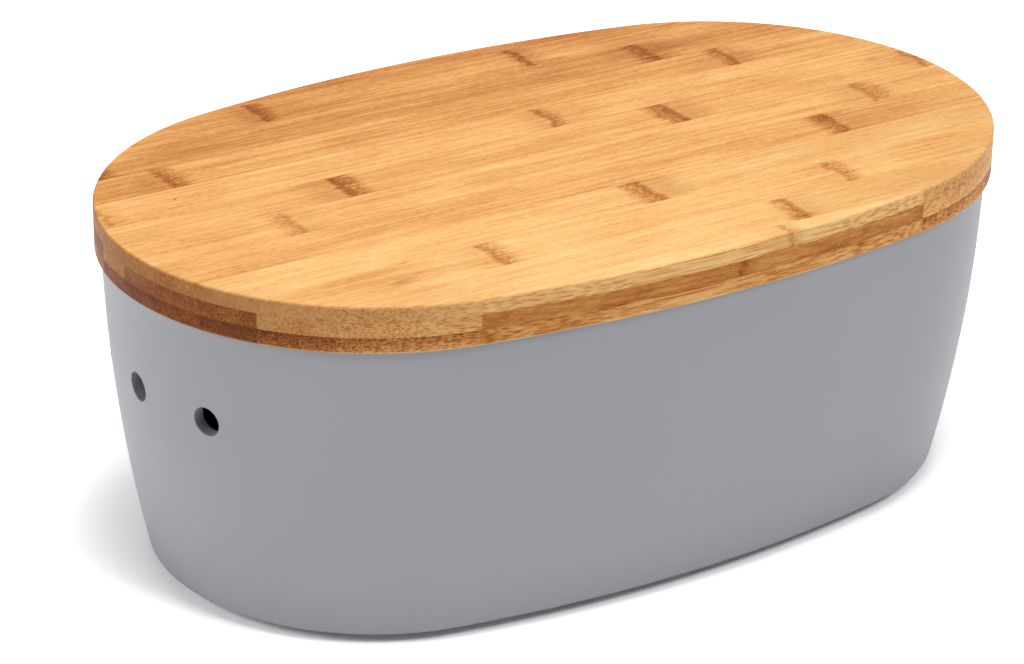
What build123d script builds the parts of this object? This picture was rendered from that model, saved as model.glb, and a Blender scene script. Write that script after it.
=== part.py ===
"""Bread box: an oval moulded box with vent holes, its feet, and a loose lid of glued bamboo strips.

Millimetres, +Z up, +X along the box's length. The origin is on the table, under the middle of the box.
"""

from build123d import *
from math import cos, radians, sin
import os

os.makedirs("parts", exist_ok=True)

# Lid board
LID_LENGTH = 360.0
LID_WIDTH = 218.0
LID_SIDE_RADIUS = 540.0  # of the long, shallow sides. The round ends follow from it
LAYER_THICKNESS = 5.8
LID_TOP_CHAMFER = 0.9
LID_UNDER_CHAMFER = 0.5

# Strips that the board is glued from
FULL_STRIPS = 10  # side by side across the board
EDGE_STRIP_WIDTH = 9.0  # of the narrow last strip at each long side
STRIP_SHIFT = -0.6  # of the whole row of strips, from the middle of the board

# Groove under the lid, which drops over the rim
LID_OVERHANG = 2.4  # from the rim's outer face to the lid's edge
GROOVE_DEPTH = 3.5
GROOVE_CLEARANCE = 0.5

# Box
WALL = 5.0
FLOOR = 5.0
BODY_HEIGHT = 122.0
BASE_INSET_ENDS = 13.7  # how much further in than the rim the base is, at each end
BASE_INSET_SIDES = 13.0
BASE_SIDE_RADIUS = 490.0
WALL_CURVE = 1.95  # 1 would make the walls straight, and more makes them belly out
LOFT_SECTIONS = 7
BASE_EDGE_ROUND = 1.6
FLOOR_CORNER_ROUND = 9.0
RIM_ROUND = 0.9

# Vent holes in both ends
VENT_DIAMETER = 11.0
VENT_DROP = 40.5  # of their middles, below the rim
VENT_ANGLE = 22.5  # from one to the next, round the middle of the rounded end
VENTS_PER_END = 3
VENT_EDGE_ROUND = 0.3

# Feet
FOOT_DIAMETER = 14.0
FOOT_THICKNESS = 4.5
FOOT_RECESS = 0.5
FOOT_CLEARANCE = 0.2
FOOT_EDGE_ROUND = 0.5
FOOT_INSET = 22.0  # from the edge of the base to a foot's middle
FOOT_ANGLE = 55.0  # round the middle of the rounded end, from the long axis

# Places worked out from the sizes above
BODY_BOTTOM = FOOT_THICKNESS - FOOT_RECESS
RIM_TOP = BODY_BOTTOM + BODY_HEIGHT
LID_UNDERSIDE = RIM_TOP - GROOVE_DEPTH
LID_LAYERS = ("bottom", "core", "top")
LID_THICKNESS = len(LID_LAYERS) * LAYER_THICKNESS
STRIP_WIDTH = (LID_WIDTH - 2 * EDGE_STRIP_WIDTH) / FULL_STRIPS
RIM_LENGTH = LID_LENGTH - 2 * LID_OVERHANG
RIM_WIDTH = LID_WIDTH - 2 * LID_OVERHANG
RIM_SIDE_RADIUS = LID_SIDE_RADIUS - LID_OVERHANG


def end_radius(length, width, side_radius):
    """Radius of the round ends of an oval whose long sides have the given radius."""
    return (side_radius * width - (length**2 + width**2) / 4) / (2 * side_radius - length)


def oval(length, width, side_radius, inset=0.0):
    """An oval of four arcs that meet smoothly: two round ends and two long, shallow sides.

    With an inset, the same oval moved in by that much all round.
    """
    round_end = end_radius(length, width, side_radius)
    end_centre = length / 2 - round_end
    side_centre = side_radius - width / 2
    sweep = Vector(end_centre, side_centre).get_angle(Vector(1, 0))
    with BuildSketch() as outline:
        with BuildLine():
            for turn, way in ((0, 1), (180, -1)):
                CenterArc((way * end_centre, 0), round_end - inset, turn - sweep, 2 * sweep)
                CenterArc((0, -way * side_centre), side_radius - inset, turn + sweep, 180 - 2 * sweep)
        make_face()
    return outline.sketch


def body_shape(below_rim):
    """Length, width and side radius of the box at a distance below its rim."""
    lean = (below_rim / BODY_HEIGHT) ** WALL_CURVE
    length = RIM_LENGTH - 2 * BASE_INSET_ENDS * lean
    width = RIM_WIDTH - 2 * BASE_INSET_SIDES * lean
    side_radius = RIM_SIDE_RADIUS + (BASE_SIDE_RADIUS - RIM_SIDE_RADIUS) * lean
    return length, width, side_radius


def around_end(turn, below_rim, inset):
    """Where a line from the middle of a round end, at a turn from +X, meets the outline moved in."""
    shape = body_shape(below_rim)
    round_end = end_radius(*shape)
    end_centre = shape[0] / 2 - round_end
    way = 1 if turn < 90 else -1
    reach = round_end - inset
    return way * end_centre + reach * cos(radians(turn)), reach * sin(radians(turn))


def section_depths(depth):
    """Distances below the rim of the sections that a loft runs through, from a depth up to the rim."""
    steps = LOFT_SECTIONS - 1
    return [depth * (1 - step / steps) for step in range(LOFT_SECTIONS)]


def strip_edges():
    """Front and back of each strip, from the back of the lid to its front.

    The outermost two run well past the board, whose own edge then ends them.
    """
    first_joint = STRIP_SHIFT + LID_WIDTH / 2 - EDGE_STRIP_WIDTH
    joints = [first_joint - STRIP_WIDTH * number for number in range(FULL_STRIPS + 1)]
    return list(zip(joints + [-LID_WIDTH], [LID_WIDTH] + joints))


vent_fan = [VENT_ANGLE * (place - (VENTS_PER_END - 1) / 2) for place in range(VENTS_PER_END)]
vent_turns = [end + turn for end in (0, 180) for turn in vent_fan]
foot_turns = [end + turn for end in (0, 180) for turn in (-FOOT_ANGLE, FOOT_ANGLE)]
foot_places = [around_end(turn, BODY_HEIGHT, FOOT_INSET) for turn in foot_turns]

# Hollow of the box
with BuildPart() as hollow:
    for depth in section_depths(BODY_HEIGHT - FLOOR):
        with BuildSketch(Plane.XY.offset(RIM_TOP - depth)):
            add(oval(*body_shape(depth), inset=WALL))
    loft()
    fillet(hollow.faces().sort_by(Axis.Z)[0].edges(), FLOOR_CORNER_ROUND)

# Box
with BuildPart() as body_shell:
    for depth in section_depths(BODY_HEIGHT):
        with BuildSketch(Plane.XY.offset(RIM_TOP - depth)):
            add(oval(*body_shape(depth)))
    loft()
    fillet(body_shell.faces().sort_by(Axis.Z)[0].edges(), BASE_EDGE_ROUND)
    add(hollow.part, mode=Mode.SUBTRACT)
    fillet(body_shell.faces().sort_by(Axis.Z)[-1].edges(), RIM_ROUND)
    # Recesses that the feet are glued into
    with BuildSketch(Plane.XY.offset(BODY_BOTTOM)):
        with Locations(*foot_places):
            Circle(FOOT_DIAMETER / 2 + FOOT_CLEARANCE)
    extrude(amount=FOOT_RECESS, mode=Mode.SUBTRACT)
    # Vents, each square to the wall that it goes through
    uncut_edges = body_shell.edges()
    for turn in vent_turns:
        x, y = around_end(turn, VENT_DROP, WALL / 2)
        out = (cos(radians(turn)), sin(radians(turn)), 0)
        with BuildSketch(Plane((x, y, RIM_TOP - VENT_DROP), z_dir=out)):
            Circle(VENT_DIAMETER / 2)
        extrude(amount=2 * WALL, both=True, mode=Mode.SUBTRACT)
    new_edges = body_shell.edges() - uncut_edges
    vent_edges = new_edges.filter_by(lambda edge: edge.length > 2 * VENT_DIAMETER)
    fillet(vent_edges, VENT_EDGE_ROUND)
body_shell.part.label = "body_shell"
export_step(body_shell.part, "parts/body_shell.step")

# Feet
for number, place in enumerate(foot_places, start=1):
    with BuildPart() as foot:
        with BuildSketch():
            with Locations(place):
                Circle(FOOT_DIAMETER / 2)
        extrude(amount=FOOT_THICKNESS)
        fillet(foot.faces().sort_by(Axis.Z)[0].edges(), FOOT_EDGE_ROUND)
    foot.part.label = f"foot_{number}"
    export_step(foot.part, f"parts/foot_{number}.step")

# Lid board, before it is divided into the strips that it is glued from
with BuildPart() as lid_board:
    with BuildSketch(Plane.XY.offset(LID_UNDERSIDE)):
        add(oval(LID_LENGTH, LID_WIDTH, LID_SIDE_RADIUS))
    extrude(amount=LID_THICKNESS)
    chamfer(lid_board.faces().sort_by(Axis.Z)[-1].edges(), LID_TOP_CHAMFER)
    chamfer(lid_board.faces().sort_by(Axis.Z)[0].edges(), LID_UNDER_CHAMFER)
    with BuildSketch(Plane.XY.offset(LID_UNDERSIDE)):
        add(oval(RIM_LENGTH, RIM_WIDTH, RIM_SIDE_RADIUS, inset=-GROOVE_CLEARANCE))
        add(oval(RIM_LENGTH, RIM_WIDTH, RIM_SIDE_RADIUS, inset=WALL + GROOVE_CLEARANCE), mode=Mode.SUBTRACT)
    extrude(amount=GROOVE_DEPTH, mode=Mode.SUBTRACT)

# Strips, numbered from the back of the lid to the front in each layer
for layer, layer_name in enumerate(LID_LAYERS):
    layer_middle = LID_UNDERSIDE + (layer + 0.5) * LAYER_THICKNESS
    for number, (front, back) in enumerate(strip_edges(), start=1):
        with BuildPart() as strip:
            add(lid_board.part)
            with Locations((0, (front + back) / 2, layer_middle)):
                Box(2 * LID_LENGTH, back - front, LAYER_THICKNESS, mode=Mode.INTERSECT)
        strip.part.label = f"{layer_name}_strip_{number:02d}"
        export_step(strip.part, f"parts/{layer_name}_strip_{number:02d}.step")
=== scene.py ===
"""Looks of the bread box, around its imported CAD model. Laid out as a Blender add-on and run as a script.

Metres, +Z up, +X along the box's length, in the CAD model's own frame. Patterns are worked out in
millimetres.
"""

from collections import namedtuple
from math import atan2, cos, pi, radians, sin

import bmesh
import bpy
from mathutils import Matrix, Vector


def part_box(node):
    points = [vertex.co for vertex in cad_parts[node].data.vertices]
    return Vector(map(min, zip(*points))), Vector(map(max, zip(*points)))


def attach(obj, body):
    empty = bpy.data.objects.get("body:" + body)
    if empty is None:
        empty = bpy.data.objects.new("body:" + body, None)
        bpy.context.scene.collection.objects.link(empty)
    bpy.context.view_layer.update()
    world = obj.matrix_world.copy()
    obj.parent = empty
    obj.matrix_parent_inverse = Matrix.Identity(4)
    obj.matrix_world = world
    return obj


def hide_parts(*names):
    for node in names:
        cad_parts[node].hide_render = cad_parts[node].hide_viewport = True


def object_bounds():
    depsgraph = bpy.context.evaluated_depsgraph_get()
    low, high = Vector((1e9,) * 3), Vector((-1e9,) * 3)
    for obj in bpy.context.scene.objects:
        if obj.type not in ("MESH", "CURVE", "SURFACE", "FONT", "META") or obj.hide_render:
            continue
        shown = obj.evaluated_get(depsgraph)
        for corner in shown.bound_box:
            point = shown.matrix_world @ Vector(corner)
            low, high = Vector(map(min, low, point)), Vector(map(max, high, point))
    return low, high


bl_info = {
    "name": "Bread Box",
    "version": (1, 0, 0),
    "blender": (4, 5, 0),
    "location": "3D View > Sidebar > Bread Box",
    "description": "Bamboo, moulded plastic and rubber for the bread box, and the stage that it stands on",
    "category": "Object",
}

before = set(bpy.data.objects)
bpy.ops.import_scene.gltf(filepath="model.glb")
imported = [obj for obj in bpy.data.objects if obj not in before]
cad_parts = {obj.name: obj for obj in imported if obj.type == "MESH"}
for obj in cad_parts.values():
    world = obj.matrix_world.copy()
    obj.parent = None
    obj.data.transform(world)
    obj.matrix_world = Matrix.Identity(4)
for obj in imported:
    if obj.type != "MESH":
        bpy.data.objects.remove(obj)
cad_low, cad_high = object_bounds()
lid_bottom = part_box("bottom_strip_06")[0].z

MM = 0.001
LAYERS = ("bottom", "core", "top")
STRIPS = range(1, 13)  # from the back of the lid to its front, in each layer
FEET = range(1, 5)

# Mesh of the lid's top layer
ARC_STEPS = 64  # in each of its outline's four arcs
ROUNDING_STEPS = 6
FLAT_GUARD = 0.3 * MM  # flat band on each side of the rounding, which keeps the flats flat to the eye
CUT_TOLERANCE = 1e-7
SHARP_ANGLE = radians(30.0)  # edges that turn further than this stay sharp

# Stage
PAPER_REACH = 6.0  # from the middle of the floor to its edges
OVEREXPOSURE = 2.0  # of the paper, where it is seen
LIGHT_FADE = 2.2  # from the middle of the floor, where the lamps' light has faded to a quarter
LAMP_AIM = Vector((0.0, 0.0, 0.08))

# Camera, fitted to the photo
CAMERA_PLACE = (-0.677247, -1.032707, 0.636967)
CAMERA_TURN = (0.5752, 0.4339, 0.0153)  # to the right of +Y, downwards, and clockwise, in radians
LENS = 125.27  # in millimetres, as the sensor's width is
SENSOR_WIDTH = 36.0
LENS_SHIFT = (-0.0238, 0.0003)  # to the right and up, in widths of the picture

# What tells one bamboo strip from another. Places and sizes are in millimetres.
# tone: 0 is scorched, 1 the palest. bands: contrast of the broad streaks. bundles: contrast of the
# fibre bundles, which are dots where they are cut across. skin: how much darker its upper side is.
Strip = namedtuple("Strip", "tone bands bundles skin marks spots", defaults=(0.16, 0.12, 0.0, (), ()))
# A culm's node, a bar across the strip at x. lean: which side of the bar has the dark line and the smear.
Mark = namedtuple("Mark", "x width strength lean")
# A soft patch round x, y.
Spot = namedtuple("Spot", "x y half_length half_width strength")

# The top strips grow paler from the lid's back to its front, partly their own tone and partly painted light
BAMBOO = {
    "top_01": Strip(0.54, 0.14, 0.10),
    "top_02": Strip(
        0.64, 0.18, 0.10,
        marks=(Mark(-76.6, 6.5, 0.75, -1), Mark(39.8, 4.5, 0.8, 1)),
        spots=(
            Spot(-66, 90, 26, 22, 0.22), Spot(52, 81.5, 12, 2, 0.38), Spot(112, 91, 14, 2.5, 0.36),
            Spot(84, 90, 32, 30, 0.16),
        ),
    ),
    "top_03": Strip(
        0.59, 0.20, 0.10,
        marks=(Mark(-156.5, 8.0, 0.85, -1), Mark(86.0, 7.5, 0.65, 1)),
        spots=(
            Spot(105, 70, 34, 9, 0.24), Spot(-110, 69, 50, 12, 0.2), Spot(86, 62, 14, 6, 0.29),
            Spot(76, 70, 18, 14, 0.16), Spot(-20, 70, 40, 30, 0.1),
        ),
    ),
    "top_04": Strip(
        0.66, 0.18, 0.10,
        marks=(Mark(-135.5, 8.0, 0.62, -1), Mark(111.5, 6.5, 0.6, 1)),
        spots=(Spot(111, 55, 4, 4, 0.14), Spot(-136, 41, 5, 2, 0.24), Spot(-160, 51, 18, 30, 0.1)),
    ),
    "top_05": Strip(
        0.75, 0.15, 0.08,
        marks=(Mark(16.0, 6.0, 0.6, -1), Mark(-174.5, 4.0, 0.4, 1)),
        spots=(Spot(-144, 30, 0.9, 0.8, 1.0), Spot(24, 30, 18, 14, 0.16)),
    ),
    "top_06": Strip(
        0.73, 0.18, 0.08,
        marks=(Mark(-84.0, 9.5, 0.85, -1), Mark(57.0, 9.0, 0.75, 1), Mark(176.5, 4.0, 0.5, -1)),
        spots=(Spot(161, 17, 7, 3.5, 0.24), Spot(-72, 10, 22, 14, 0.14)),
    ),
    "top_07": Strip(
        0.75, 0.17, 0.08,
        marks=(Mark(-120.0, 7.5, 0.4, 1), Mark(139.0, 10.0, 0.45, -1)),
        spots=(Spot(150, -11, 40, 30, 0.1),),
    ),
    "top_08": Strip(
        0.72, 0.19, 0.08,
        marks=(Mark(103.8, 9.0, 0.62, 1),),
        spots=(Spot(104, -24, 11, 7, 0.38), Spot(104, -39, 9, 3, 0.24), Spot(140, -31, 80, 30, 0.16)),
    ),
    "top_09": Strip(
        0.84, 0.17, 0.08,
        marks=(Mark(5.0, 10.0, 0.62, 1),),
        spots=(
            Spot(110, -51, 110, 30, 0.15), Spot(168, -51, 40, 30, 0.12), Spot(-170, -51, 30, 30, 0.12),
            Spot(8, -51, 30, 12, 0.14),
        ),
    ),
    "top_10": Strip(
        0.82, 0.22, 0.12,
        marks=(Mark(-69.5, 8.0, 0.5, -1), Mark(80.0, 7.5, 0.45, -1)),
        spots=(
            Spot(-111, -75, 9, 3, 0.34), Spot(-102, -60.8, 3, 0.7, 0.96), Spot(130, -79, 24, 1.6, 0.3),
            Spot(135, -71, 60, 30, 0.13), Spot(-120, -71, 45, 30, 0.18),
        ),
    ),
    "top_11": Strip(
        0.85, 0.17, 0.22,
        marks=(Mark(42.0, 7.0, 0.55, 1),),
        spots=(Spot(41, -98, 9, 4, 0.36), Spot(105, -91, 95, 30, 0.22), Spot(-120, -91, 50, 30, 0.13)),
    ),
    "top_12": Strip(0.92, 0.14, 0.28, marks=(Mark(30.0, 6.0, 0.4, -1),)),
    "core_01": Strip(0.52, 0.14, 0.16),
    "core_02": Strip(0.50, 0.16, 0.20),
    "core_03": Strip(0.44, 0.16, 0.16),
    "core_04": Strip(0.60, 0.14, 0.14),
    "core_05": Strip(0.38, 0.14, 0.14),
    "core_06": Strip(0.76, 0.12, 0.10),
    "core_07": Strip(0.50, 0.14, 0.12, -0.06),
    "core_08": Strip(0.46, 0.14, 0.12, 0.05),
    "core_09": Strip(0.47, 0.22, 0.20, 0.04),
    "core_10": Strip(0.82, 0.12, 0.20),
    "core_11": Strip(0.82, 0.14, 0.22, 0.04),
    "core_12": Strip(
        0.54, 0.10, 0.04, -0.02,
        marks=(Mark(8.0, 3.0, 0.5, 1),),
        spots=(Spot(-62, -106, 26, 6, 0.06), Spot(74, -103, 9, 6, 0.12)),
    ),
    "bottom_01": Strip(0.56, 0.20, 0.20),
    "bottom_02": Strip(0.50, 0.16, 0.20),
    "bottom_03": Strip(0.46, 0.16, 0.16),
    "bottom_04": Strip(0.42, 0.14, 0.14),
    "bottom_05": Strip(0.60, 0.14, 0.12),
    "bottom_06": Strip(0.38, 0.14, 0.12),
    "bottom_07": Strip(0.33, 0.20, 0.12, 0.06),
    "bottom_08": Strip(0.40, 0.18, 0.14, 0.06),
    "bottom_09": Strip(0.34, 0.20, 0.14, 0.08),
    "bottom_10": Strip(0.44, 0.14, 0.24, 0.12),
    "bottom_11": Strip(0.64, 0.14, 0.26, 0.12),
    "bottom_12": Strip(
        0.71, 0.30, 0.24, 0.05,
        marks=(Mark(-94.0, 4.0, 0.4, 1), Mark(62.0, 5.0, 0.35, 1)),
        spots=(Spot(-62, -104, 24, 8, 0.2),),
    ),
}


def linear(hex_colour):
    """Linear red, green, blue and alpha of an sRGB colour in hex."""
    channels = [int(hex_colour[start:start + 2], 16) / 255 for start in (1, 3, 5)]
    return (*[c / 12.92 if c <= 0.04045 else ((c + 0.055) / 1.055) ** 2.4 for c in channels], 1.0)


def colour_property(name, description, hex_colour):
    """A colour that the user can change, with its default as sRGB hex."""
    return bpy.props.FloatVectorProperty(
        name=name, description=description, default=linear(hex_colour)[:3],
        min=0.0, max=1.0, subtype="COLOR",
    )


class BambooSettings(bpy.types.PropertyGroup):
    """Sizes and colours of the bamboo strips."""

    side_radius: bpy.props.FloatProperty(
        name="Side radius", description="Radius of the lid's long, shallow sides",
        default=0.54, min=0.4, unit="LENGTH",
    )
    edge_round: bpy.props.FloatProperty(
        name="Edge rounding", description="Radius of the lid's top edge",
        default=0.0009, min=0.0002, unit="LENGTH",
    )
    pale: colour_property("Pale", "Palest bamboo", "#FFD593")
    straw: colour_property("Straw", "Light bamboo", "#F7BC75")
    honey: colour_property("Honey", "Middling bamboo", "#DF9C58")
    caramel: colour_property("Caramel", "Steamed bamboo", "#BD7238")
    brown: colour_property("Brown", "Well steamed bamboo", "#884A1F")
    scorched: colour_property("Scorched", "Darkest bamboo", "#50260E")
    light_stain: colour_property("Light stain", "What a faint brown mark lets through", "#D4B796")
    deep_stain: colour_property("Deep stain", "What a culm's node lets through", "#A97F59")
    cut_fibres: colour_property("Cut fibres", "Dull shade of fibres cut across", "#B9A68C")
    # Painted shade for the faces turned to the left, as if less light fell from that side
    painted_left_shade: colour_property("Soaked", "What the oil in the left ends lets through", "#BCACA5")
    roughness: bpy.props.FloatProperty(
        name="Roughness", description="Middle roughness of the oiled surface",
        default=0.5, min=0.1, max=1.0, subtype="FACTOR",
    )


class BodySettings(bpy.types.PropertyGroup):
    """Colours of the moulded box and its feet."""

    plastic: colour_property("Plastic", "Colour of the moulded box", "#9A9CA3")
    plastic_roughness: bpy.props.FloatProperty(
        name="Roughness", description="Middle roughness of the moulded plastic",
        default=0.5, min=0.1, max=1.0, subtype="FACTOR",
    )
    rubber: colour_property("Rubber", "Colour of the feet", "#3B3B3D")


class StageSettings(bpy.types.PropertyGroup):
    """Colour of the floor, and power of the lights."""

    floor: colour_property("Floor", "Colour of the paper that the box stands on", "#F0F0F0")
    sky: bpy.props.FloatProperty(name="Sky", description="Light from all round", default=0.1, min=0.0)
    key_power: bpy.props.FloatProperty(
        name="Key", description="Power of the soft lamp overhead", default=34.0, min=0.0, unit="POWER",
    )
    right_power: bpy.props.FloatProperty(
        name="Right fill", description="Power of the lamp at the front right",
        default=22.0, min=0.0, unit="POWER",
    )
    left_power: bpy.props.FloatProperty(
        name="Left fill", description="Power of the lamp at the left", default=15.0, min=0.0, unit="POWER",
    )


class BreadBoxSettings(bpy.types.PropertyGroup):
    """All settings of the bread box."""

    bamboo: bpy.props.PointerProperty(type=BambooSettings, name="Bamboo")
    body: bpy.props.PointerProperty(type=BodySettings, name="Body")
    stage: bpy.props.PointerProperty(type=StageSettings, name="Stage")


def add_node(tree, kind, inputs=None, **settings):
    """Adds a node with its settings. Each input is set to a value, or linked to a socket or another node."""
    made = tree.nodes.new(kind)
    for name, value in settings.items():
        setattr(made, name, value)
    for key, value in (inputs or {}).items():
        if isinstance(value, bpy.types.Node):
            value = value.outputs[0]
        if isinstance(value, bpy.types.NodeSocket):
            tree.links.new(value, made.inputs[key])
        else:
            made.inputs[key].default_value = value
    return made


def new_group(name, inputs, outputs):
    """An empty node group with the named inputs and outputs, and the sockets that its inputs come in by."""
    tree = bpy.data.node_groups.new(name, "ShaderNodeTree")
    for socket in inputs:
        kind = "NodeSocketVector" if socket == "Place" else "NodeSocketFloat"
        tree.interface.new_socket(socket, in_out="INPUT", socket_type=kind)
    for socket in outputs:
        tree.interface.new_socket(socket, in_out="OUTPUT", socket_type="NodeSocketFloat")
    return tree, add_node(tree, "NodeGroupInput").outputs


def fibres_group():
    """Bamboo's fibres, as a solid pattern: streaks along the strip, and dots where it is cut across.

    Place is in millimetres. Tone is what the pattern adds to the strip's tone, Relief is its height, End is
    how far the surface faces along the fibres, either way, and Left how far it faces to the left.
    """
    tree, given = new_group(
        "bamboo_fibres", ("Place", "Seed", "Bands", "Bundles"), ("Tone", "Relief", "End", "Left")
    )
    # Each seed takes the strip's pattern from another place in the noise
    shift = add_node(
        tree, "ShaderNodeVectorMath", {0: (211.0, 37.0, 13.0), "Scale": given["Seed"]}, operation="SCALE"
    )
    place = add_node(tree, "ShaderNodeVectorMath", {0: given["Place"], 1: shift}, operation="ADD")

    # Length and thickness in millimetres, detail and contrast of the fibres, the narrow and the broad
    # streaks, and the slow changes along the strip. The real fibres are 0.3 mm thick, and are drawn at 0.7 mm
    # so that they show
    streaks = (
        (3.0, 0.7, 1.0, 0.3),
        (48.0, 1.7, 1.0, 0.38),
        (110.0, 3.8, 2.0, given["Bands"]),
        (38.0, 13.0, 2.0, 0.3),
    )
    tone = 0.0
    noises = []
    for length, thickness, detail, contrast in streaks:
        scale = (1 / length, 1 / thickness, 1 / thickness)
        stretched = add_node(tree, "ShaderNodeVectorMath", {0: place, 1: scale}, operation="MULTIPLY")
        noise = add_node(
            tree, "ShaderNodeTexNoise",
            {"Vector": stretched, "Scale": 1.0, "Detail": detail, "Roughness": 0.6},
        ).outputs["Fac"]
        noises.append(noise)
        # Less the noise's middle, so that a streak lightens as much as another darkens
        swing = add_node(tree, "ShaderNodeMath", {0: noise, 1: 0.5}, operation="SUBTRACT")
        tone = add_node(tree, "ShaderNodeMath", {0: swing, 1: contrast, 2: tone}, operation="MULTIPLY_ADD")
    fine = noises[0]

    # Fibre bundles 0.9 mm apart, dark dots on an end and dashes on a side, that wander 0.8 mm in 30 mm. Each
    # fades out from 0.16 to 0.48 of that spacing from its middle
    wander = add_node(
        tree, "ShaderNodeVectorMath", {0: place, 1: (1 / 30, 1 / 8, 1 / 8)}, operation="MULTIPLY"
    )
    wander = add_node(
        tree, "ShaderNodeTexNoise", {"Vector": wander, "Scale": 1.0, "Detail": 1.0}
    ).outputs["Color"]
    wander = add_node(tree, "ShaderNodeVectorMath", {0: wander, "Scale": 3.0}, operation="SCALE")
    wander = add_node(tree, "ShaderNodeVectorMath", {0: place, 1: wander}, operation="ADD")
    across = add_node(tree, "ShaderNodeSeparateXYZ", {0: wander}).outputs
    section = add_node(tree, "ShaderNodeCombineXYZ", {"X": across["Y"], "Y": across["Z"]})
    from_middle = add_node(
        tree, "ShaderNodeTexVoronoi", {"Vector": section, "Scale": 1 / 0.9, "Randomness": 0.75},
        voronoi_dimensions="2D",
    ).outputs["Distance"]
    dots = add_node(
        tree, "ShaderNodeMapRange", {"Value": from_middle, "From Min": 0.48, "From Max": 0.16},
        interpolation_type="SMOOTHSTEP",
    )

    facing = add_node(tree, "ShaderNodeTexCoord").outputs["Normal"]
    facing = add_node(tree, "ShaderNodeSeparateXYZ", {0: facing}).outputs
    end = add_node(tree, "ShaderNodeMath", {0: facing["X"]}, operation="ABSOLUTE")
    left = add_node(tree, "ShaderNodeMapRange", {"Value": facing["X"], "From Max": -1.0})
    # The bundles show on the lid's edge, and hardly on its flat faces
    flat = add_node(tree, "ShaderNodeMath", {0: facing["Z"]}, operation="ABSOLUTE")
    showing = add_node(tree, "ShaderNodeMapRange", {"Value": flat, "To Min": 1.0, "To Max": 0.08})
    shade = add_node(tree, "ShaderNodeMath", {0: dots, 1: showing}, operation="MULTIPLY")
    shade = add_node(tree, "ShaderNodeMath", {0: shade, 1: given["Bundles"]}, operation="MULTIPLY")
    tone = add_node(tree, "ShaderNodeMath", {0: tone, 1: shade}, operation="SUBTRACT")
    relief = add_node(tree, "ShaderNodeMath", {0: dots, 1: -0.3, 2: fine}, operation="MULTIPLY_ADD")
    add_node(tree, "NodeGroupOutput", {"Tone": tone, "Relief": relief, "End": end, "Left": left})
    return tree


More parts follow.
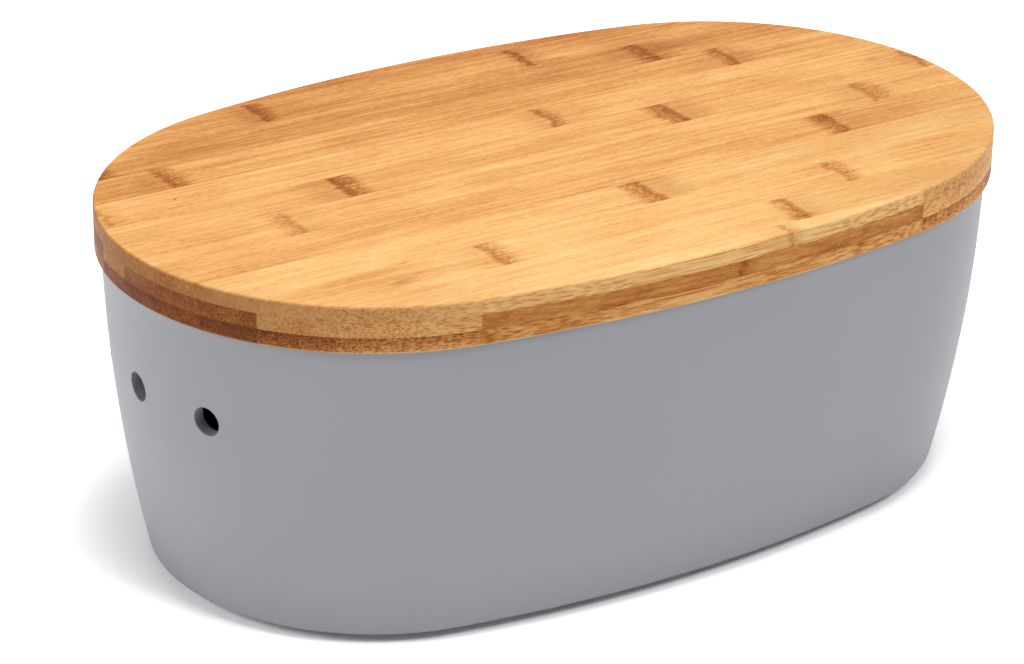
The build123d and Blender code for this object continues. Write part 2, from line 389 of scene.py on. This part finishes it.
def culm_node_group():
    """A node of the culm, a mottled bar across the strip. Stain is how much it browns the bamboo.

    At is the bar's x, Middle the y of the strip's middle and Width the bar's width, in millimetres as Place.
    """
    tree, given = new_group(
        "bamboo_culm_node", ("Place", "At", "Middle", "Width", "Strength", "Lean"), ("Stain",)
    )
    along = add_node(tree, "ShaderNodeSeparateXYZ", {0: given["Place"]}).outputs
    # Each bar takes its shape from another place in the noise
    shift = add_node(
        tree, "ShaderNodeVectorMath", {0: (0.0, 0.3, 0.2), "Scale": given["At"]}, operation="SCALE"
    )
    # Length and thickness in millimetres, least and most of the slow waves that bend the bar, of the fibres
    # that carry its brown further along than their neighbours do, and of the mottling inside it
    shapes = []
    for length, thickness, least, most in (
        (40.0, 7.0, -1.4, 1.4),
        (9.0, 1.6, -1.2, 1.2),
        (1.8, 1.1, 0.1, 1.4),
    ):
        scale = (1 / length, 1 / thickness, 1 / thickness)
        stretched = add_node(
            tree, "ShaderNodeVectorMath", {0: given["Place"], 1: scale, 2: shift}, operation="MULTIPLY_ADD"
        )
        noise = add_node(
            tree, "ShaderNodeTexNoise", {"Vector": stretched, "Scale": 1.0, "Detail": 2.0}
        ).outputs["Fac"]
        # The noise runs from about 0.25 to 0.75
        shapes.append(
            add_node(
                tree, "ShaderNodeMapRange",
                {"Value": noise, "From Min": 0.25, "From Max": 0.75, "To Min": least, "To Max": most},
            )
        )
    waves, feather, mottling = shapes

    # The bar bows by 0.6 mm at the strip's edges, which are 10 mm from its middle
    bow = add_node(tree, "ShaderNodeMath", {0: along["Y"], 1: given["Middle"]}, operation="SUBTRACT")
    bow = add_node(tree, "ShaderNodeMath", {0: bow, 1: bow}, operation="MULTIPLY")
    bend = add_node(tree, "ShaderNodeMath", {0: bow, 1: 0.6 / 10**2, 2: waves}, operation="MULTIPLY_ADD")
    from_bar = add_node(tree, "ShaderNodeMath", {0: along["X"], 1: given["At"]}, operation="SUBTRACT")
    from_bar = add_node(tree, "ShaderNodeMath", {0: from_bar, 1: bend}, operation="ADD")
    from_bar = add_node(tree, "ShaderNodeMath", {0: from_bar, 1: feather}, operation="ADD")

    # The bar fades out from 3.9 mm inside its edge to 3.6 mm outside it
    distance = add_node(tree, "ShaderNodeMath", {0: from_bar}, operation="ABSOLUTE")
    inner = add_node(tree, "ShaderNodeMath", {0: given["Width"], 1: 0.5, 2: -3.9}, operation="MULTIPLY_ADD")
    outer = add_node(tree, "ShaderNodeMath", {0: given["Width"], 1: 0.5, 2: 3.6}, operation="MULTIPLY_ADD")
    bar = add_node(
        tree, "ShaderNodeMapRange", {"Value": distance, "From Min": outer, "From Max": inner},
        interpolation_type="SMOOTHSTEP",
    )
    bar = add_node(tree, "ShaderNodeMath", {0: bar, 1: mottling}, operation="MULTIPLY")

    # Darker line, 2.8 mm wide to each side, near the bar's edge that Lean names
    side = add_node(tree, "ShaderNodeMath", {0: given["Width"], 1: given["Lean"]}, operation="MULTIPLY")
    line = add_node(tree, "ShaderNodeMath", {0: side, 1: -0.3, 2: from_bar}, operation="MULTIPLY_ADD")
    line = add_node(tree, "ShaderNodeMath", {0: line}, operation="ABSOLUTE")
    line = add_node(
        tree, "ShaderNodeMapRange", {"Value": line, "From Min": 2.8, "From Max": 0.0, "To Max": 0.5},
        interpolation_type="SMOOTHSTEP",
    )

    # Soft smear round a point past that edge, which fades out over 1.3 times the bar's width and 3 mm more
    smear = add_node(tree, "ShaderNodeMath", {0: side, 1: -0.9, 2: from_bar}, operation="MULTIPLY_ADD")
    smear = add_node(tree, "ShaderNodeMath", {0: smear}, operation="ABSOLUTE")
    reach = add_node(tree, "ShaderNodeMath", {0: given["Width"], 1: 1.3, 2: 3.0}, operation="MULTIPLY_ADD")
    smear = add_node(
        tree, "ShaderNodeMapRange", {"Value": smear, "From Min": reach, "From Max": 0.0, "To Max": 0.3},
        interpolation_type="SMOOTHSTEP",
    )

    stain = add_node(tree, "ShaderNodeMath", {0: bar, 1: line}, operation="ADD")
    stain = add_node(tree, "ShaderNodeMath", {0: stain, 1: smear}, operation="MAXIMUM")
    stain = add_node(tree, "ShaderNodeMath", {0: stain, 1: given["Strength"]}, operation="MULTIPLY")
    add_node(tree, "NodeGroupOutput", {"Stain": stain})
    return tree


def spot_group():
    """A soft patch or a speck round X, Y, in millimetres. Stain is how much it browns the bamboo."""
    tree, given = new_group(
        "bamboo_spot", ("Place", "X", "Y", "Half length", "Half width", "Strength"), ("Stain",)
    )
    along = add_node(tree, "ShaderNodeSeparateXYZ", {0: given["Place"]}).outputs
    across = {}
    for axis, half in (("X", "Half length"), ("Y", "Half width")):
        offset = add_node(tree, "ShaderNodeMath", {0: along[axis], 1: given[axis]}, operation="SUBTRACT")
        across[axis] = add_node(tree, "ShaderNodeMath", {0: offset, 1: given[half]}, operation="DIVIDE")
    across = add_node(tree, "ShaderNodeCombineXYZ", across)
    distance = add_node(tree, "ShaderNodeVectorMath", {0: across}, operation="LENGTH").outputs["Value"]
    # Its edge is ragged along the fibres, 8 mm long and 1 mm thick. The raggedness adds 0.6 to the distance
    # on the whole, and the patch fades out from its middle to its edge
    fibres = add_node(
        tree, "ShaderNodeVectorMath", {0: given["Place"], 1: (1 / 8, 1.0, 1.0)}, operation="MULTIPLY"
    )
    ragged = add_node(
        tree, "ShaderNodeTexNoise", {"Vector": fibres, "Scale": 1.0, "Detail": 2.0}
    ).outputs["Fac"]
    distance = add_node(tree, "ShaderNodeMath", {0: ragged, 1: 1.2, 2: distance}, operation="MULTIPLY_ADD")
    patch = add_node(
        tree, "ShaderNodeMapRange", {"Value": distance, "From Min": 1.6, "From Max": 0.6},
        interpolation_type="SMOOTHSTEP",
    )
    stain = add_node(tree, "ShaderNodeMath", {0: patch, 1: given["Strength"]}, operation="MULTIPLY")
    add_node(tree, "NodeGroupOutput", {"Stain": stain})
    return tree


def set_stops(ramp, stops):
    """Sets a new colour ramp's stops, from the lowest up, each a position and a linear colour.

    A new ramp has two stops already.
    """
    for number, (position, colour) in enumerate(stops):
        stop = ramp.elements[number] if number < 2 else ramp.elements.new(position)
        stop.position = position
        stop.color = (*colour, 1.0)


def new_material(name):
    """An empty node material, and its tree."""
    material = bpy.data.materials.new(name)
    material.use_nodes = True
    material.node_tree.nodes.clear()
    return material, material.node_tree


def strip_tone(tree, place, pattern, strip, low, high):
    """A strip's tone at a place in millimetres, from 0, scorched, to 1, the palest, with its glue lines."""
    tone = add_node(tree, "ShaderNodeMath", {0: pattern, 1: strip.tone}, operation="ADD")
    along = add_node(tree, "ShaderNodeSeparateXYZ", {0: place}).outputs
    # Glue lines, which are darker between the layers than inside one. The real ones are 0.1 mm thick, and
    # are drawn 0.35 mm wide to each side of a joint so that they show
    joints = [("Y", low.y, 0.03), ("Y", high.y, 0.03), ("Z", low.z, 0.06), ("Z", high.z, 0.06)]
    for axis, joint, darker in joints:
        if joint in (cad_high.z, lid_bottom):
            continue
        away = add_node(tree, "ShaderNodeMath", {0: along[axis], 1: joint / MM}, operation="SUBTRACT")
        away = add_node(tree, "ShaderNodeMath", {0: away}, operation="ABSOLUTE")
        line = add_node(
            tree, "ShaderNodeMapRange", {"Value": away, "From Min": 0.35, "From Max": 0.05, "To Max": darker}
        )
        tone = add_node(tree, "ShaderNodeMath", {0: tone, 1: line}, operation="SUBTRACT")
    # The side of the strip that was nearer the culm's skin is darker
    bottom, top = low.z / MM, high.z / MM
    skin = add_node(
        tree, "ShaderNodeMapRange",
        {
            "Value": along["Z"], "From Min": bottom, "From Max": top,
            "To Min": strip.skin, "To Max": -strip.skin,
        },
    )
    tone = add_node(tree, "ShaderNodeMath", {0: tone, 1: skin}, operation="ADD")
    if low.z == lid_bottom:
        # The arris under the lid is drawn paler over its lowest 0.7 mm
        arris = add_node(
            tree, "ShaderNodeMapRange",
            {"Value": along["Z"], "From Min": bottom + 0.7, "From Max": bottom + 0.3, "To Max": 0.25},
        )
        tone = add_node(tree, "ShaderNodeMath", {0: tone, 1: arris}, operation="ADD")
    return tone


def strip_stains(tree, place, strip, middle, groups):
    """How much each of a strip's culm nodes and spots browns it. Middle is the y of the strip's middle."""
    stains = []
    for mark in strip.marks:
        stains.append(
            add_node(
                tree, "ShaderNodeGroup",
                {
                    "Place": place, "At": mark.x, "Middle": middle / MM, "Width": mark.width,
                    "Strength": mark.strength, "Lean": mark.lean,
                },
                node_tree=groups["culm_node"],
            )
        )
    for spot in strip.spots:
        stains.append(
            add_node(
                tree, "ShaderNodeGroup",
                {
                    "Place": place, "X": spot.x, "Y": spot.y, "Half length": spot.half_length,
                    "Half width": spot.half_width, "Strength": spot.strength,
                },
                node_tree=groups["spot"],
            )
        )
    return stains


def oiled_bamboo(name, strip, seed, low, high, groups, settings):
    """Bamboo, split, planed, glued and oiled.

    To the eye it is long straight fibres in tones from straw to caramel, a mottled brown bar where the culm
    had a node, dots where the fibres are cut across, and a soft shine from the oil.
    """
    material, tree = new_material(name)
    place = add_node(tree, "ShaderNodeTexCoord").outputs["Object"]
    place = add_node(tree, "ShaderNodeVectorMath", {0: place, "Scale": 1 / MM}, operation="SCALE")
    fibres = add_node(
        tree, "ShaderNodeGroup",
        {"Place": place, "Seed": seed, "Bands": strip.bands, "Bundles": strip.bundles},
        node_tree=groups["fibres"],
    ).outputs
    ramp = add_node(
        tree, "ShaderNodeValToRGB", {"Fac": strip_tone(tree, place, fibres["Tone"], strip, low, high)}
    )
    set_stops(
        ramp.color_ramp,
        (
            (0.0, settings.scorched), (0.2, settings.brown), (0.42, settings.caramel),
            (0.62, settings.honey), (0.8, settings.straw), (1.0, settings.pale),
        ),
    )
    colour = ramp.outputs["Color"]
    # Brown of the culm's nodes and of stains, which lets through less blue than red
    for stain in strip_stains(tree, place, strip, (low.y + high.y) / 2, groups):
        dye = add_node(tree, "ShaderNodeValToRGB", {"Fac": stain})
        set_stops(dye.color_ramp, ((0.0, (1, 1, 1)), (0.5, settings.light_stain), (1.0, settings.deep_stain)))
        colour = add_node(
            tree, "ShaderNodeMix", {"Factor": 1.0, 6: colour, 7: dye},
            data_type="RGBA", blend_type="MULTIPLY",
        ).outputs[2]
    # Where the fibres are cut across they scatter the light, and faces turned to the left get painted shade
    dull = add_node(tree, "ShaderNodeMapRange", {"Value": fibres["End"], "To Max": 0.05})
    colour = add_node(
        tree, "ShaderNodeMix", {"Factor": dull, 6: colour, 7: (*settings.cut_fibres, 1.0)}, data_type="RGBA"
    ).outputs[2]
    colour = add_node(
        tree, "ShaderNodeMix", {"Factor": fibres["Left"], 6: colour, 7: (*settings.painted_left_shade, 1.0)},
        data_type="RGBA", blend_type="MULTIPLY",
    ).outputs[2]
    # The hollows between the fibres are rougher than their crests, and 0.06 mm deep
    rough = add_node(
        tree, "ShaderNodeMapRange",
        {
            "Value": fibres["Relief"], "From Min": 0.2, "From Max": 0.7,
            "To Min": settings.roughness + 0.07, "To Max": settings.roughness - 0.07,
        },
    )
    bump = add_node(
        tree, "ShaderNodeBump", {"Height": fibres["Relief"], "Strength": 0.5, "Distance": 0.06 * MM}
    )
    shader = add_node(
        tree, "ShaderNodeBsdfPrincipled",
        {
            "Base Color": colour, "Roughness": rough, "IOR": 1.5,
            "Specular IOR Level": 0.08, "Normal": bump,
        },
    )
    add_node(tree, "ShaderNodeOutputMaterial", {"Surface": shader})
    return material


def moulded_plastic(settings):
    """Melamine resin, pressed in a finely etched mould.

    To the eye it is one even grey with a very fine tooth, matte face on and a little brighter at grazing
    angles.
    """
    material, tree = new_material("melamine_pressed")
    place = add_node(tree, "ShaderNodeTexCoord").outputs["Object"]
    # Cloudy patches 40 mm across, where the plastic flowed a little thicker
    clouds = add_node(
        tree, "ShaderNodeTexNoise", {"Vector": place, "Scale": 1 / (40 * MM), "Detail": 2.0}
    ).outputs["Fac"]
    # The etched tooth is 0.1 mm across, and is drawn at 0.5 mm so that it shows
    tooth = add_node(
        tree, "ShaderNodeTexNoise", {"Vector": place, "Scale": 1 / (0.5 * MM), "Detail": 2.0}
    ).outputs["Fac"]
    pale = [min(1.0, channel * 1.035) for channel in settings.plastic]
    deep = [channel * 0.965 for channel in settings.plastic]
    colour = add_node(
        tree, "ShaderNodeMix", {"Factor": clouds, 6: (*deep, 1.0), 7: (*pale, 1.0)}, data_type="RGBA"
    ).outputs[2]
    rough = add_node(
        tree, "ShaderNodeMapRange",
        {
            "Value": clouds, "From Min": 0.3, "From Max": 0.7,
            "To Min": settings.plastic_roughness - 0.04, "To Max": settings.plastic_roughness + 0.04,
        },
    )
    bump = add_node(tree, "ShaderNodeBump", {"Height": tooth, "Strength": 0.25, "Distance": 0.02 * MM})
    shader = add_node(
        tree, "ShaderNodeBsdfPrincipled",
        {
            "Base Color": colour, "Roughness": rough, "IOR": 1.6,
            "Sheen Weight": 0.15, "Sheen Roughness": 0.4, "Normal": bump,
        },
    )
    add_node(tree, "ShaderNodeOutputMaterial", {"Surface": shader})
    return material


def foot_rubber(settings):
    """Soft rubber, moulded. To the eye it is dull dark grey with a fine dusty grain."""
    material, tree = new_material("rubber_moulded")
    place = add_node(tree, "ShaderNodeTexCoord").outputs["Object"]
    # Grain 0.4 mm across
    grain = add_node(
        tree, "ShaderNodeTexNoise", {"Vector": place, "Scale": 1 / (0.4 * MM), "Detail": 3.0}
    ).outputs["Fac"]
    dusty = [channel * 1.5 for channel in settings.rubber]
    colour = add_node(
        tree, "ShaderNodeMix", {"Factor": grain, 6: (*settings.rubber, 1.0), 7: (*dusty, 1.0)},
        data_type="RGBA",
    ).outputs[2]
    rough = add_node(
        tree, "ShaderNodeMapRange",
        {"Value": grain, "From Min": 0.3, "From Max": 0.7, "To Min": 0.72, "To Max": 0.88},
    )
    bump = add_node(tree, "ShaderNodeBump", {"Height": grain, "Strength": 0.3, "Distance": 0.03 * MM})
    shader = add_node(
        tree, "ShaderNodeBsdfPrincipled",
        {"Base Color": colour, "Roughness": rough, "IOR": 1.52, "Normal": bump},
    )
    add_node(tree, "ShaderNodeOutputMaterial", {"Surface": shader})
    return material


def lid_ring(inset, height, settings):
    """Points round the lid's outline, moved in by an inset, at a height."""
    half_length = cad_high.x
    half_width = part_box("top_strip_01")[1].y
    length, width, side_radius = 2 * half_length, 2 * half_width, settings.side_radius
    round_end = (side_radius * width - (length**2 + width**2) / 4) / (2 * side_radius - length)
    end_centre = half_length - round_end
    side_centre = side_radius - half_width
    sweep = atan2(side_centre, end_centre)
    arcs = (
        (end_centre, 0, round_end, -sweep, sweep),
        (0, -side_centre, side_radius, sweep, pi - sweep),
        (-end_centre, 0, round_end, pi - sweep, pi + sweep),
        (0, side_centre, side_radius, pi + sweep, 2 * pi - sweep),
    )
    points = []
    for x, y, radius, start, end in arcs:
        reach = radius - inset
        for step in range(ARC_STEPS):
            turn = start + (end - start) * step / ARC_STEPS
            points.append(Vector((x + reach * cos(turn), y + reach * sin(turn), height)))
    return points


def top_layer_board(settings):
    """The lid's top layer in one, with its rounded top edge."""
    bottom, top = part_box("top_strip_06")[0].z, cad_high.z
    radius = settings.edge_round
    # Inset from the lid's outline and height of each ring of points, from the bottom up
    profile = [(0, bottom), (0, top - radius - FLAT_GUARD)]
    for step in range(ROUNDING_STEPS + 1):
        turn = pi / 2 * step / ROUNDING_STEPS
        profile.append((radius * (1 - cos(turn)), top - radius * (1 - sin(turn))))
    profile.append((radius + FLAT_GUARD, top))
    board = bmesh.new()
    rings = []
    for inset, height in profile:
        rings.append([board.verts.new(point) for point in lid_ring(inset, height, settings)])
    for lower, upper in zip(rings, rings[1:]):
        for number, vertex in enumerate(lower):
            following = (number + 1) % len(lower)
            board.faces.new((vertex, lower[following], upper[following], upper[number]))
    board.faces.new(reversed(rings[0]))
    board.faces.new(rings[-1])
    return board


def cut_board(board, front, back):
    """The part of a board from a front to a back y, closed where it is cut."""
    piece = board.copy()
    for at, way in ((back, 1), (front, -1)):
        cut = bmesh.ops.bisect_plane(
            piece, geom=piece.verts[:] + piece.edges[:] + piece.faces[:], dist=CUT_TOLERANCE,
            plane_co=(0, at, 0), plane_no=(0, way, 0), clear_outer=True,
        )["geom_cut"]
        edges = [item for item in cut if isinstance(item, bmesh.types.BMEdge)]
        if edges:
            bmesh.ops.contextual_create(piece, geom=edges)
    bmesh.ops.recalc_face_normals(piece, faces=piece.faces[:])
    return piece


def object_from(shape, name, material):
    """An object in the scene from a bmesh, smooth but for its sharp edges."""
    mesh = bpy.data.meshes.new(name)
    shape.to_mesh(mesh)
    shape.free()
    mesh.shade_smooth()
    mesh.set_sharp_from_angle(angle=SHARP_ANGLE)
    mesh.materials.append(material)
    made = bpy.data.objects.new(name, mesh)
    bpy.context.scene.collection.objects.link(made)
    return made


class BREADBOX_OT_lid_strips(bpy.types.Operator):
    """Gives each glued strip of the lid its own bamboo, and the top layer its rounded edge"""

    bl_idname = "bread_box.lid_strips"
    bl_label = "Lid strips"

    def execute(self, context):
        settings = context.scene.bread_box.bamboo
        groups = {"fibres": fibres_group(), "culm_node": culm_node_group(), "spot": spot_group()}
        board = top_layer_board(settings)
        for layer_number, layer in enumerate(LAYERS):
            for number in STRIPS:
                strip_name = f"{layer}_{number:02d}"
                node = f"{layer}_strip_{number:02d}"
                low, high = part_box(node)
                seed = len(STRIPS) * layer_number + number
                material = oiled_bamboo(
                    f"bamboo_oiled_{strip_name}", BAMBOO[strip_name], seed, low, high, groups, settings
                )
                if layer != "top":
                    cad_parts[node].material_slots[0].material = material
                    continue
                strip = object_from(cut_board(board, low.y, high.y), f"lid_{strip_name}", material)
                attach(strip, "lid")
                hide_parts(node)
        board.free()
        return {"FINISHED"}


class BREADBOX_OT_body(bpy.types.Operator):
    """Gives the moulded box its matte plastic"""

    bl_idname = "bread_box.body"
    bl_label = "Box"

    def execute(self, context):
        plastic = moulded_plastic(context.scene.bread_box.body)
        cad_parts["body_shell"].material_slots[0].material = plastic
        return {"FINISHED"}


class BREADBOX_OT_feet(bpy.types.Operator):
    """Gives the four feet their rubber"""

    bl_idname = "bread_box.feet"
    bl_label = "Feet"

    def execute(self, context):
        rubber = foot_rubber(context.scene.bread_box.body)
        for number in FEET:
            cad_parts[f"foot_{number}"].material_slots[0].material = rubber
        return {"FINISHED"}


def seen_by(tree):
    """1 for the rays that show the background: the camera's, reflected and transmitted ones. Else 0."""
    rays = add_node(tree, "ShaderNodeLightPath").outputs
    seen = rays["Is Camera Ray"]
    for ray in ("Is Glossy Ray", "Is Transmission Ray"):
        seen = add_node(tree, "ShaderNodeMath", {0: seen, 1: rays[ray]}, operation="MAXIMUM")
    return seen


def seamless_paper(settings):
    """White paper, uncoated and from a roll. To the eye it is plain white but for the box's shadow.

    The camera and the glossy plastic see it overexposed, and the more so the further off it is, because the
    lamps' light fades.
    """
    material, tree = new_material("paper_seamless")
    place = add_node(tree, "ShaderNodeTexCoord").outputs["Object"]
    place = add_node(tree, "ShaderNodeVectorMath", {0: place, "Scale": 1 / LIGHT_FADE}, operation="SCALE")
    gain = add_node(tree, "ShaderNodeVectorMath", {0: place, 1: place}, operation="DOT_PRODUCT")
    gain = add_node(tree, "ShaderNodeMath", {0: gain.outputs["Value"], 1: 1.0}, operation="ADD")
    gain = add_node(tree, "ShaderNodeMath", {0: gain, 1: gain}, operation="MULTIPLY")
    overexposed = [channel * OVEREXPOSURE for channel in settings.floor]
    overexposed = add_node(tree, "ShaderNodeVectorMath", {0: overexposed, "Scale": gain}, operation="SCALE")
    colour = add_node(
        tree, "ShaderNodeMix", {"Factor": seen_by(tree), 6: (*settings.floor, 1.0), 7: overexposed},
        data_type="RGBA",
    ).outputs[2]
    shader = add_node(
        tree, "ShaderNodeBsdfPrincipled", {"Base Color": colour, "Roughness": 0.9, "Specular IOR Level": 0.0}
    )
    add_node(tree, "ShaderNodeOutputMaterial", {"Surface": shader})
    return material


def studio_world(settings):
    """A white background that lights the box only faintly."""
    world = bpy.data.worlds.new("studio")
    world.use_nodes = True
    tree = world.node_tree
    tree.nodes.clear()
    strength = add_node(
        tree, "ShaderNodeMapRange", {"Value": seen_by(tree), "To Min": settings.sky, "To Max": 1.0}
    )
    sky = add_node(tree, "ShaderNodeBackground", {"Color": (1.0, 1.0, 1.0, 1.0), "Strength": strength})
    add_node(tree, "ShaderNodeOutputWorld", {"Surface": sky})
    return world


def soft_lamp(name, place, size, power):
    """A square area lamp at a place, aimed at the box."""
    light = bpy.data.lights.new(name, "AREA")
    light.shape = "SQUARE"
    light.size = size
    light.energy = power
    lamp = bpy.data.objects.new(name, light)
    lamp.location = place
    lamp.rotation_euler = (LAMP_AIM - lamp.location).to_track_quat("-Z", "Y").to_euler()
    bpy.context.scene.collection.objects.link(lamp)


def fitted_camera():
    """The camera, where the photo was taken from."""
    data = bpy.data.cameras.new("camera")
    data.sensor_width = SENSOR_WIDTH
    data.lens = LENS
    data.shift_x, data.shift_y = LENS_SHIFT
    data.clip_end = 50.0  # well past the far edge of the paper
    camera = bpy.data.objects.new("camera", data)
    heading, pitch, roll = CAMERA_TURN
    ahead = Vector((cos(pitch) * sin(heading), cos(pitch) * cos(heading), -sin(pitch)))
    level = Vector((cos(heading), -sin(heading), 0.0))
    upright = level.cross(ahead)
    right = cos(roll) * level + sin(roll) * upright
    up = cos(roll) * upright - sin(roll) * level
    camera.matrix_world = Matrix([*zip(right, up, -ahead, CAMERA_PLACE), (0.0, 0.0, 0.0, 1.0)])
    bpy.context.scene.collection.objects.link(camera)
    return camera


class BREADBOX_OT_stage(bpy.types.Operator):
    """Makes the white paper floor, the soft lamps and the camera"""

    bl_idname = "bread_box.stage"
    bl_label = "Stage"

    def execute(self, context):
        settings = context.scene.bread_box.stage
        scene = context.scene
        scene.view_settings.view_transform = "Standard"
        sheet = bmesh.new()
        bmesh.ops.create_grid(sheet, x_segments=8, y_segments=8, size=PAPER_REACH)
        floor = object_from(sheet, "floor_paper", seamless_paper(settings))
        scene.world = studio_world(settings)
        # Places and sizes in metres
        soft_lamp("key", (0.02, -0.25, 2.6), 0.9, settings.key_power)
        soft_lamp("fill_right", (0.45, -1.65, 2.05), 0.8, settings.right_power)
        soft_lamp("fill_left", (-1.85, 0.1, 1.3), 0.8, settings.left_power)
        scene.camera = fitted_camera()
        return {"FINISHED"}


class BREADBOX_PT_panel(bpy.types.Panel):
    """Lists the bread box's settings and operators"""

    bl_label = "Bread Box"
    bl_idname = "BREADBOX_PT_panel"
    bl_space_type = "VIEW_3D"
    bl_region_type = "UI"
    bl_category = "Bread Box"

    def draw(self, context):
        settings = context.scene.bread_box
        for part, operators in (
            (settings.bamboo, (BREADBOX_OT_lid_strips,)),
            (settings.body, (BREADBOX_OT_body, BREADBOX_OT_feet)),
            (settings.stage, (BREADBOX_OT_stage,)),
        ):
            box = self.layout.box()
            for name in part.__annotations__:
                box.prop(part, name)
            for operator in operators:
                box.operator(operator.bl_idname)


CLASSES = (
    BambooSettings,
    BodySettings,
    StageSettings,
    BreadBoxSettings,
    BREADBOX_OT_lid_strips,
    BREADBOX_OT_body,
    BREADBOX_OT_feet,
    BREADBOX_OT_stage,
    BREADBOX_PT_panel,
)


def register():
    for kind in CLASSES:
        bpy.utils.register_class(kind)
    bpy.types.Scene.bread_box = bpy.props.PointerProperty(type=BreadBoxSettings)


def unregister():
    del bpy.types.Scene.bread_box
    for kind in reversed(CLASSES):
        bpy.utils.unregister_class(kind)


def main():
    """Makes every piece and the stage."""
    register()
    bpy.ops.bread_box.stage()
    bpy.ops.bread_box.body()
    bpy.ops.bread_box.feet()
    bpy.ops.bread_box.lid_strips()


if __name__ == "__main__":
    main()
